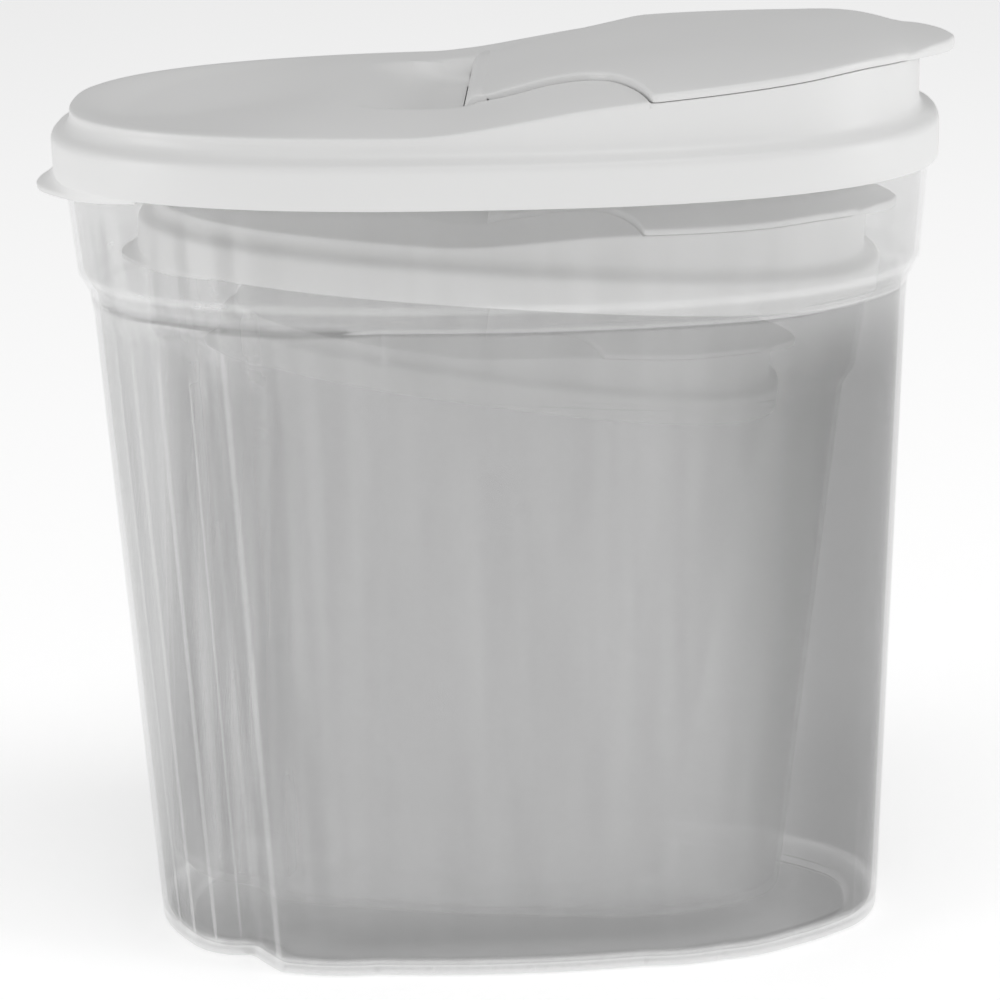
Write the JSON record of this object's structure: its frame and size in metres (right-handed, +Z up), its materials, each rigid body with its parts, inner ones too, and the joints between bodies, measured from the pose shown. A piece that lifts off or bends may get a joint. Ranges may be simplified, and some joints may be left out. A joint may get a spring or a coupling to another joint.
{
  "type": "flip-top cereal canister set",
  "caption": "Nested clear oval cereal canisters with rounded grip end, white press-on lids and hinged pouring flaps, each holding the next smaller one.",
  "frame": {"origin": "middle of the large tub's base, on the surface it stands on", "axes": "+X towards the pouring end, -X the grip end, +Z up"},
  "size_m": [0.2508, 0.1304, 0.2573],
  "materials": {
    "clear_plastic": "clear with a slight grey haze, glossy",
    "white_lid_plastic": "satin white moulded plastic",
    "white_flap_plastic": "satin white moulded plastic"
  },
  "bodies": {
    "large_tub": {"large_tub": "clear_plastic"},
    "large_lid": {"large_lid": "white_lid_plastic"},
    "large_flap": {"large_flap": "white_flap_plastic"},
    "medium_tub": {"medium_tub": "clear_plastic"},
    "medium_lid": {"medium_lid": "white_lid_plastic"},
    "medium_flap": {"medium_flap": "white_flap_plastic"},
    "small_tub": {"small_tub": "clear_plastic"},
    "small_lid": {"small_lid": "white_lid_plastic"},
    "small_flap": {"small_flap": "white_flap_plastic"}
  },
  "joints": [
    {"name": "large_lid_lift", "type": "slide", "parent": "large_tub", "child": "large_lid", "axis": [0, 0, 1], "range_m": [0, 0.97]},
    {"name": "large_flap_hinge", "type": "hinge", "parent": "large_lid", "child": "large_flap", "pos_m": [-0.0023, 0, 0.2426], "axis": [0, -1, 0], "range_deg": [0, 135]},
    {"name": "medium_canister_lift", "type": "slide", "parent": "large_tub", "child": "medium_tub", "axis": [0, 0, 1], "range_m": [0, 0.236]},
    {"name": "medium_lid_lift", "type": "slide", "parent": "medium_tub", "child": "medium_lid", "axis": [0.0802, 0, 0.9968], "range_m": [0, 0.442]},
    {"name": "medium_flap_hinge", "type": "hinge", "parent": "medium_lid", "child": "medium_flap", "pos_m": [0.00178, 0, 0.20974], "axis": [0, -1, 0], "range_deg": [0, 135]},
    {"name": "small_canister_lift", "type": "slide", "parent": "medium_tub", "child": "small_tub", "axis": [0.0802, 0, 0.9968], "range_m": [0, 0.193]},
    {"name": "small_lid_lift", "type": "slide", "parent": "small_tub", "child": "small_lid", "axis": [0.153, 0, 0.9882], "range_m": [0, 0.021]},
    {"name": "small_flap_hinge", "type": "hinge", "parent": "small_lid", "child": "small_flap", "pos_m": [-0.0007, 0, 0.17619], "axis": [0, -1, 0], "range_deg": [0, 135]}
  ],
  "couplings": [
    {"joint": "medium_canister_lift", "follows": "large_lid_lift", "ratio": 0.24327},
    {"joint": "medium_lid_lift", "follows": "large_lid_lift", "ratio": 0.45563},
    {"joint": "small_canister_lift", "follows": "large_lid_lift", "ratio": 0.19895},
    {"joint": "small_lid_lift", "follows": "large_lid_lift", "ratio": 0.021647},
    {"joint": "medium_flap_hinge", "follows": "large_lid_lift", "rad_per_m": 2.4288},
    {"joint": "small_flap_hinge", "follows": "large_lid_lift", "rad_per_m": 2.4288}
  ]
}
